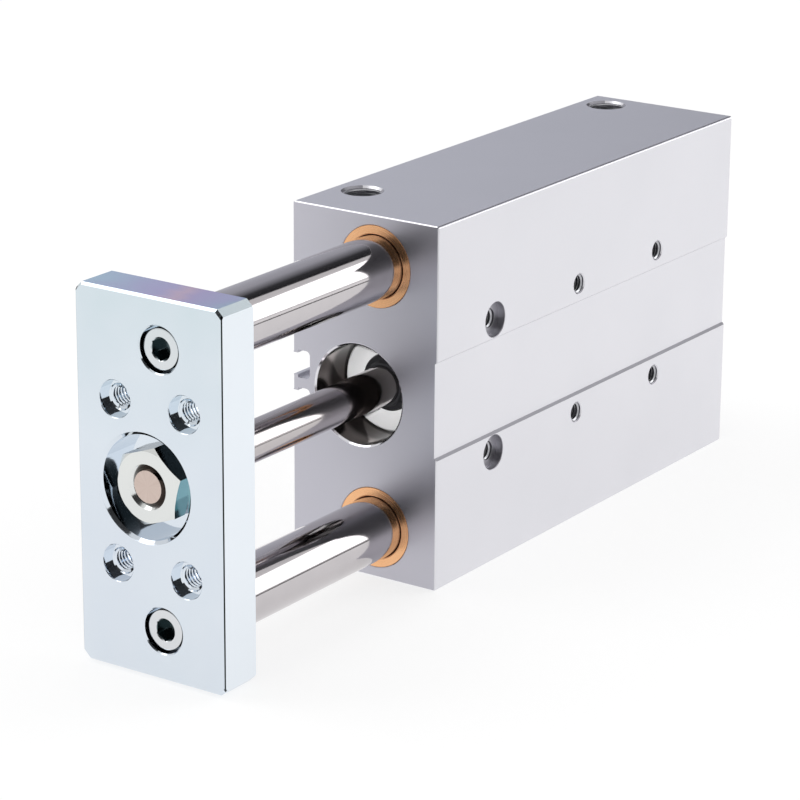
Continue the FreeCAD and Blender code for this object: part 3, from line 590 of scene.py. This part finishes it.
low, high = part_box("rod_wiper")
lip = low.y / MM - FRONT
wiper = [(lip, WIPER_BORE), (lip, 5.7), (gland_face - 0.9, 6.0), (gland_face - 0.5, 7.1),
         (gland_face, WIPER_SEAT - 0.05), (wiper_back, WIPER_SEAT - 0.05), (wiper_back, WIPER_BORE)]
ring = turned("wiper_ring", eased(wiper, 0.1), bore_axis)
shade(ring, rubber("wiper_rubber"))
fit(ring, "housing", "seal_rubber", "rod_wiper")


# ==== Inside the bore ==============================================================================
# Bearing, seals, end stops, rear cover, circlip and piston. The rear cover and the circlip show
# at the back; the rest is closed in, and keeps the shape it has in the frame.
MACHINED = turned_metal("machined_aluminium", "#D9D9DC", "#BEBFC4", bore_axis, 0.26)
SEAL = rubber("seal_rubber_plain")
STOP = rubber("end_stop_rubber", "#2A2624", 0.6)
BRONZE = turned_metal("gland_bush_bronze", "#F2BE92", "#DFA06E", bore_axis, 0.25)


def dark_spring(name):
    """Oiled, phosphated spring steel."""
    made = Finish(name, Metallic=1.0)
    here = made.place()
    bloom = made.noise(here, 1.2, 4.0)
    made.feed("Base Color", made.mix(bloom, colour("#3A3A3C"), colour("#5A5754")))
    made.feed("Roughness", 0.34 + bloom * 0.2)
    made.bump(bloom, 0.2, 0.00005)
    return made.material


def ferrite(name):
    """Pressed magnet compound: dark, slightly grainy."""
    made = Finish(name)
    grain = made.noise(made.place(), 6.0, 3.0)
    made.feed("Base Color", made.mix(grain, colour("#2B2B2D"), colour("#3C3C40")))
    made.feed("Roughness", 0.5 + grain * 0.2)
    return made.material


def slide_plastic(name):
    """Filled plastic strip of the wear ring."""
    made = Finish(name)
    grain = made.noise(made.place(), 4.0, 3.0)
    made.feed("Base Color", made.mix(grain, colour("#6E5A3C"), colour("#84704E")))
    made.feed("Roughness", 0.4 + grain * 0.15)
    return made.material


SPRING = dark_spring("spring_steel_oiled")
inner_finishes = {
    "gland_bush": BRONZE, "rod_seal": SEAL, "gland_o_ring": SEAL, "rear_cover_o_ring": SEAL,
    "front_piston_seal": SEAL, "rear_piston_seal": SEAL, "piston_o_ring": SEAL,
    "front_bumper": STOP, "rear_bumper": STOP, "gland_lock_wire": SPRING,
    "piston_front_half": MACHINED, "piston_rear_half": MACHINED,
    "magnet_ring": ferrite("magnet_compound"), "wear_ring": slide_plastic("wear_ring_plastic"),
}
for node, finish in inner_finishes.items():
    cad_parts[node].data.materials[0] = finish
for node, finish, slot in (("rear_cover", MACHINED, "bright_aluminium"),
                           ("rear_circlip", SPRING, "spring_steel")):
    cover = own_mesh(node + "_piece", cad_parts[node])
    shade(cover, finish)
    fit(cover, "housing", slot, node)


# ==== Guide rods ===================================================================================
# Two 16 mm rods of hardened steel, ground and hard chromed to a mirror, with chamfered rear ends.
# They slide in the bronze bushes and are screwed to the tool plate.
def chromed(name, tone="#CFCACC", shine=0.065, end=None):
    """Hard chrome on ground steel: nearly a mirror, with very fine grinding marks round the rod.

    In front of the station end, in millimetres, the metal is bare and brushed, with painted shade at its
    rim."""
    made = Finish(name, Metallic=1.0)
    here = made.place()
    marks = made.noise(made.stretched(here, (0.4, 14.0, 0.4)), 1.0, 3.0, 0.6)
    cloud = made.noise(here, 0.08, 2.0)
    base = made.mix(cloud, colour(tone), colour("#BFBBBD"))
    rough = shine + marks * 0.03
    if end is not None:
        centred = made.place((bore_axis[0] * MM, 0.0, bore_axis[1] * MM))
        x = made.axis(centred, "x")
        z = made.axis(centred, "z")
        sweep = made.node("ShaderNodeMath", {"operation": "ARCTAN2"}, {0: z, 1: x})
        brushed = made.noise(made.node("ShaderNodeCombineXYZ", {}, {0: sweep * 3.0}), 1.0, 2.0)
        front = made.axis(centred, "y") < end
        base = made.mix(front, base, made.mix(brushed, colour("#DDCCC3"), colour("#C6B3A9")))
        # Painted shade: a dark ring at the stub's rim, where the thread starts.
        thread_start = made.axis(centred, "y") < end + 1.5
        rim = (x * x + z * z) ** 0.5 > 3.95
        base = made.mix(rim * thread_start, base, colour("#38302C"))
        rough = rough + front * 0.28
    made.feed("Base Color", base)
    made.feed("Roughness", rough)
    made.bump(marks, 0.08, 0.00001)
    return made.material


CHROME = chromed("hard_chrome")
for level, axis in guide_axes.items():
    low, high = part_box(level + "_guide_rod")
    start = low.y / MM - FRONT
    end = high.y / MM - FRONT
    radius = (high.x - low.x) / 2 / MM
    outline = [(start, 0.0), (start, radius - 0.5), (start + 0.5, radius), (end - 1.7, radius),
               (end, radius - 1.0), (end, 0.0)]
    rod = turned(level + "_guide_rod_bar", eased(outline, 0.5), axis, 256)
    shade(rod, CHROME, 40.0)
    fit(rod, "carriage", "chromed_steel", level + "_guide_rod")


# ==== Piston rod ===================================================================================
# A 10 mm polished rod. Its front end is turned down, threaded M10 fine and passes through the
# plate; its rear end carries the piston.
ROD_RADIUS = 5.0
ROD_THREAD = 4.6
SPIGOT = 4.0
PISTON_SEAT = 38.1
low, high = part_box("piston_rod")
rod_tip = low.y / MM - FRONT
rod_end = high.y / MM - FRONT
plate_low, plate_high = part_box("tool_plate")
plate_back = plate_high.y / MM - FRONT
outline = [(rod_tip, 0.0), (rod_tip, ROD_THREAD - 0.7), (rod_tip + 0.7, ROD_THREAD),
           (plate_back, ROD_THREAD), (plate_back, ROD_RADIUS - 0.3), (plate_back + 0.6, ROD_RADIUS),
           (PISTON_SEAT, ROD_RADIUS), (PISTON_SEAT, SPIGOT), (rod_end, SPIGOT), (rod_end, 0.0)]
rod = turned("piston_rod_bar", eased(outline, 0.12), bore_axis, 256)
shade(rod, chromed("polished_rod", "#C2BBBA", 0.085, low.y / MM + 0.05), 40.0)
fit(rod, "carriage", "chromed_rod", "piston_rod")


# ==== Tool plate ===================================================================================
# The plate is milled from steel bar, 12 mm thick, with all edges broken, then zinc plated and
# passivated: a bluish white with a faint play of colour where the film is thicker.
ZINC = "#E2EAF0"
ZINC_SHADE = "#D6E1EB"


def zinc_plated(name, iridescent=False, shine=0.16, inner=1.0, tone=ZINC, shade_tone=ZINC_SHADE,
                painted_flat_tone=None, socket_painted_shade=None):
    """Bright zinc with a clear blue passivation; inner says how much smoother recesses are.

    The nut's tone given is the painted light on its right flat face; its other flat faces get near-black
    painted shade. For key socket recesses the places, radius and depth are given, and the recess gets
    painted shade."""
    made = Finish(name, Metallic=1.0)
    here = made.place((0.0, plate_low.y, centre_z))
    grain = made.noise(here, 3.0, 3.0, 0.6)
    cloud = made.noise(here, 0.05, 3.0)
    warm = made.noise(made.stretched(here, (0.9, 1.0, 0.6)), 0.045, 2.0)
    base = made.mix(cloud, colour(tone), colour(shade_tone))
    base = made.mix(warm * 0.3, base, colour("#DFDDE8"))
    drift = made.node("ShaderNodeMapRange", {},
                      {0: made.axis(here, "z"), 1: 8.0, 2: 44.0, 3: 0.0, 4: 0.7})
    base = made.mix(drift * cloud, base, colour("#C9DBDD"))
    facing = made.node("ShaderNodeNewGeometry", output="Normal")
    if iridescent:
        film_and_flat_shade = made.noise(made.stretched(here, (1.0, 1.6, 1.0)), 0.09, 2.0)
        along = made.axis(here, "x") / 42.0 + 0.38 + film_and_flat_shade * 0.24
        tint = made.node("ShaderNodeValToRGB", {"stops": [
            (0.0, colour("#C8E8FA")), (0.3, colour("#CBD4F4")), (0.5, colour("#CFC8F1")),
            (0.62, colour("#EACFE4")), (0.72, colour("#CEC2EC")), (0.88, colour("#C6CBEE")),
            (1.0, colour("#B9DEE8"))]}, {0: along})
        high = (made.axis(facing, "z") > 0.9) * (made.axis(here, "z") > 45.6)
        base = made.mix(high, base, tint)
        # Painted light: the side faces are lighter.
        base = made.mix((abs(made.axis(facing, "x")) > 0.9) * 0.9, base, colour("#EDF3F9"))
        # Painted shade: a dark line on the vertical edge chamfers at each side.
        edge = (abs(made.axis(here, "x")) > 20.5) * (abs(made.axis(facing, "x")) > 0.4)
        edge = edge * (abs(made.axis(facing, "y")) > 0.4)
        base = made.mix(edge, base, colour("#3A3F42"))
    if painted_flat_tone:
        # Painted light and shade on the nut's hexagon: the right flat face lit, the others near black.
        film_and_flat_shade = made.mix(made.axis(facing, "x") > 0.8, colour("#1B2224"), colour(painted_flat_tone))
        base = made.mix(abs(made.axis(facing, "y")) < 0.3, base, film_and_flat_shade)
    if socket_painted_shade:
        across, half_height, radius, sunk = socket_painted_shade
        # Painted shade: the inside of each key socket is darkened.
        x = made.axis(here, "x") - across
        z = abs(made.axis(here, "z")) - half_height
        reach = (x * x + z * z) ** 0.5
        base = made.mix((reach < radius) * (made.axis(here, "y") > sunk), base, colour("#59686B"))
    made.feed("Base Color", base)
    depth = made.axis(here, "y")
    inside = (depth > 0.12) * (depth < 11.9) * (abs(made.axis(here, "x")) < 20.3)
    inside = inside * (abs(made.axis(here, "z")) < 45.4)
    made.feed("Roughness", (shine + grain * 0.03 + cloud * 0.03) * (1.0 - inside * inner * 0.65))
    made.bump(grain, 0.1, 0.00001)
    return made.material


plate = own_mesh("tool_plate_piece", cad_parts["tool_plate"])
shade(plate, zinc_plated("zinc_plate_blue", iridescent=True))
fit(plate, "carriage", "zinc_plated_steel", "tool_plate")
TOOL_HALF_WIDTH = 10.0
TOOL_HALF_HEIGHT = 20.0
TOOL_TAP = 3.0
TOOL_THREAD_START = 2.25
starts = [(TOOL_HALF_WIDTH * i, plate_low.y / MM + TOOL_THREAD_START, centre_z / MM + TOOL_HALF_HEIGHT * k)
          for i in (-1, 1) for k in (1, -1)]
plate_threads = thread("plate_hole_threads", starts, (-math.pi / 2, 0.0, 0.0), TOOL_TAP, 1.0, 9,
                       zinc_plated("zinc_plated_thread"))
fit(plate_threads, "carriage", "zinc_plated_steel")


# ==== Fasteners ====================================================================================
# Two M6 socket head screws hold the guide rods, and a thin hexagon nut locks the piston rod.
# All are steel, zinc plated; the nut has a turned face and a countersunk thread.
SCREW = zinc_plated("zinc_plated_fastener", shine=0.2, inner=0.3, tone="#DFE2E2", shade_tone="#D6D8DB",
                    socket_painted_shade=(GUIDE_X, GUIDE_HALF_HEIGHT, 2.85, 1.0))
NUT = zinc_plated("zinc_plated_turned", tone="#E6E8E4", shade_tone="#DCE0DC", inner=0.5, painted_flat_tone="#93BCBE")
for node, slot, finish in (("rod_nut", "zinc_plated_nut", NUT),
                           ("guide_rod_screws", "zinc_plated_screw", SCREW)):
    piece = own_mesh(node + "_piece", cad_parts[node])
    shade(piece, finish)
    fit(piece, "carriage", slot, node)
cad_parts["piston_nut"].data.materials[0] = SCREW


# ==== Studio =======================================================================================
# A pale floor in a white surround, lit by two soft panels and a narrow spot into the bore.
# Cards that only reflections see give the polished metal its dark and pale bands.
def stage_sheet(name, corners, finish):
    mesh = bpy.data.meshes.new(name)
    mesh.from_pydata([tuple(c) for c in corners], [], [tuple(range(len(corners)))])
    mesh.materials.append(finish)
    sheet = bpy.data.objects.new(name, mesh)
    bpy.context.scene.collection.objects.link(sheet)
    sheet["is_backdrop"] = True
    return sheet


def white_level(tree, low, high):
    """A strength that is high for camera, glossy and transmission rays, and low for the others."""
    path = tree.nodes.new("ShaderNodeLightPath")
    seen = path.outputs["Is Camera Ray"]
    for ray in ("Is Glossy Ray", "Is Transmission Ray"):
        either = tree.nodes.new("ShaderNodeMath")
        either.operation = "MAXIMUM"
        tree.links.new(seen, either.inputs[0])
        tree.links.new(path.outputs[ray], either.inputs[1])
        seen = either.outputs[0]
    level = tree.nodes.new("ShaderNodeMapRange")
    tree.links.new(seen, level.inputs["Value"])
    level.inputs["To Min"].default_value = low
    level.inputs["To Max"].default_value = high
    return level.outputs[0]


def floor_finish():
    """A matt grey floor that glows up to white for rays that look at it, and keeps its shadows."""
    material = bpy.data.materials.new("studio_floor")
    material.use_nodes = True
    tree = material.node_tree
    tree.nodes.clear()
    output = tree.nodes.new("ShaderNodeOutputMaterial")
    diffuse = tree.nodes.new("ShaderNodeBsdfDiffuse")
    diffuse.inputs["Color"].default_value = (0.35, 0.35, 0.35, 1.0)
    glow = tree.nodes.new("ShaderNodeEmission")
    glow.inputs["Color"].default_value = (1.0, 1.0, 1.0, 1.0)
    tree.links.new(white_level(tree, 0.0, 0.725), glow.inputs["Strength"])
    both = tree.nodes.new("ShaderNodeAddShader")
    tree.links.new(diffuse.outputs[0], both.inputs[0])
    tree.links.new(glow.outputs[0], both.inputs[1])
    tree.links.new(both.outputs[0], output.inputs["Surface"])
    return material


FLOOR_HALF = 6.0
corners = [(FLOOR_HALF * i, FLOOR_HALF * k, 0.0) for i, k in ((-1, -1), (1, -1), (1, 1), (-1, 1))]
stage_sheet("studio_floor", corners, floor_finish())

world = bpy.data.worlds.new("studio_air")
bpy.context.scene.world = world
world.use_nodes = True
sky = world.node_tree
sky.nodes.clear()
sky_output = sky.nodes.new("ShaderNodeOutputWorld")
sky_light = sky.nodes.new("ShaderNodeBackground")
sky.links.new(white_level(sky, 0.85, 1.0), sky_light.inputs["Strength"])
sky.links.new(sky_light.outputs[0], sky_output.inputs["Surface"])


def lamp(name, place, target, size, power):
    """A soft rectangular panel that faces its target."""
    data = bpy.data.lights.new(name, "AREA")
    data.shape = "RECTANGLE"
    data.size, data.size_y = size
    data.energy = power
    made = bpy.data.objects.new(name, data)
    bpy.context.scene.collection.objects.link(made)
    made.location = place
    made.rotation_euler = (Vector(target) - Vector(place)).to_track_quat("-Z", "Y").to_euler()
    return made


snoot = bpy.data.objects.new("bore_snoot", bpy.data.lights.new("bore_snoot", "SPOT"))
snoot.data.energy = 25.0
snoot.data.spot_size = math.radians(4.0)
snoot.data.spot_blend = 0.6
snoot.data.shadow_soft_size = 0.02
snoot.location = (0.33, -0.58, 0.26)
bore_mouth = Vector((BORE_X * MM, front_y + 7.5 * MM, centre_z))
snoot.rotation_euler = (bore_mouth - snoot.location).to_track_quat("-Z", "Y").to_euler()
snoot.visible_glossy = False
bpy.context.scene.collection.objects.link(snoot)

middle = (0.0, -0.04, 0.045)
lamp("window_panel", (0.86, 1.15, 0.52), middle, (0.9, 0.86), 4.6)
lamp("top_panel", (-0.9, -0.45, 1.3), middle, (0.9, 0.9), 4.0)


def flag_finish(name, stops, start, end, tint=(1.0, 1.0, 1.0), deep=False):
    """A card whose grey runs through the stops from one X station to the other, in metres.

    A deep card is white at the first reflection and grey only inside recesses."""
    made = Finish(name)
    made.tree.nodes.remove(made.shader)
    x = made.axis(made.node("ShaderNodeTexCoord", output="Object"), "x")
    along = (x - start) / (end - start)
    greys = [(at, tuple(grey * part for part in tint) + (1.0,)) for at, grey in stops]
    ramp = made.node("ShaderNodeValToRGB", {"stops": greys}, {0: along})
    if deep:
        bounce = made.node("ShaderNodeLightPath", output="Glossy Depth")
        ramp = made.mix(bounce > 1.5, (1.0, 1.0, 1.0, 1.0), ramp)
    glow = made.tree.nodes.new("ShaderNodeEmission")
    made.tree.links.new(ramp.socket, glow.inputs["Color"])
    output = [n for n in made.tree.nodes if n.type == "OUTPUT_MATERIAL"][0]
    made.tree.links.new(glow.outputs[0], output.inputs["Surface"])
    return made.material


def card(name, corners, finish):
    """A grey card that only polished metal sees."""
    made = stage_sheet(name, corners, finish)
    made.visible_camera = False
    made.visible_diffuse = False
    made.visible_shadow = False
    return made


def upright(y, left, right, low, high):
    """The corners of an upright card that faces along Y."""
    return [(left, y, low), (right, y, low), (right, y, high), (left, y, high)]


DARK = [(0.0, 0.05), (1.0, 0.02)]
card("card_behind", upright(1.2, -2.4, 0.33, 0.0, 1.8),
     flag_finish("card_behind_grey", [(0.0, 0.6), (0.5, 0.45), (0.8, 0.05), (1.0, 0.02)], -1.6, 0.33,
                 (0.98, 1.0, 1.11)))
card("card_front", upright(-1.7, -0.55, 2.2, 1.0, 2.4), flag_finish("card_front_grey", DARK, -0.55, 2.2))
card("card_front_low", [(-0.55, -1.7, 0.55), (0.25, -1.7, 0.02), (2.2, -1.7, 0.02), (2.2, -1.7, 1.0),
                        (-0.55, -1.7, 1.0)],
     flag_finish("card_front_low_grey", [(0.0, 0.04), (1.0, 0.02)], -0.55, 2.2, deep=True))
card("card_over", [(0.25, -1.7, 1.35), (2.2, -1.7, 1.35), (2.2, -0.25, 1.35), (0.25, -0.25, 1.35)],
     flag_finish("card_over_grey", DARK, 0.25, 2.2))
card("card_line", [(0.35, -0.2, 0.0), (0.35, 0.75, 0.0), (0.35, 0.75, 0.02), (0.35, -0.2, 0.02)],
     flag_finish("card_line_grey", [(0.0, 0.05), (1.0, 0.05)], 0.0, 1.0))
card("card_floor", [(0.03, -0.165, 0.002), (0.42, -0.27, 0.002), (0.27, -0.36, 0.002)],
     flag_finish("card_floor_grey", [(0.0, 0.03), (1.0, 0.03)], 0.0, 1.0))
card("card_left", upright(-0.15, -0.078, -0.024, 0.0, 0.085),
     flag_finish("card_left_grey", [(0.0, 1.0), (0.42, 0.9), (0.6, 0.55), (0.78, 0.26), (0.9, 0.55),
                                    (1.0, 0.75)], -0.078, -0.024))

# The camera stands 0.9 m off, ahead of the plate, to its right and a little above it.
camera_data = bpy.data.cameras.new("camera")
camera_data.lens = 148.632
camera_data.sensor_width = 36.0
camera_data.clip_start = 0.05
camera_data.clip_end = 50.0
camera = bpy.data.objects.new("camera", camera_data)
bpy.context.scene.collection.objects.link(camera)
right = Vector((0.824505, 0.565817, 0.006549))
up = Vector((-0.180468, 0.251972, 0.950758))
forward = Vector((-0.536305, 0.785087, -0.309865))
turn = Matrix((right, up, -forward)).transposed().to_4x4()
camera.matrix_world = Matrix.Translation((0.447854, -0.712290, 0.300694)) @ turn
bpy.context.scene.camera = camera
bpy.context.scene.view_settings.view_transform = "Standard"

low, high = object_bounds()
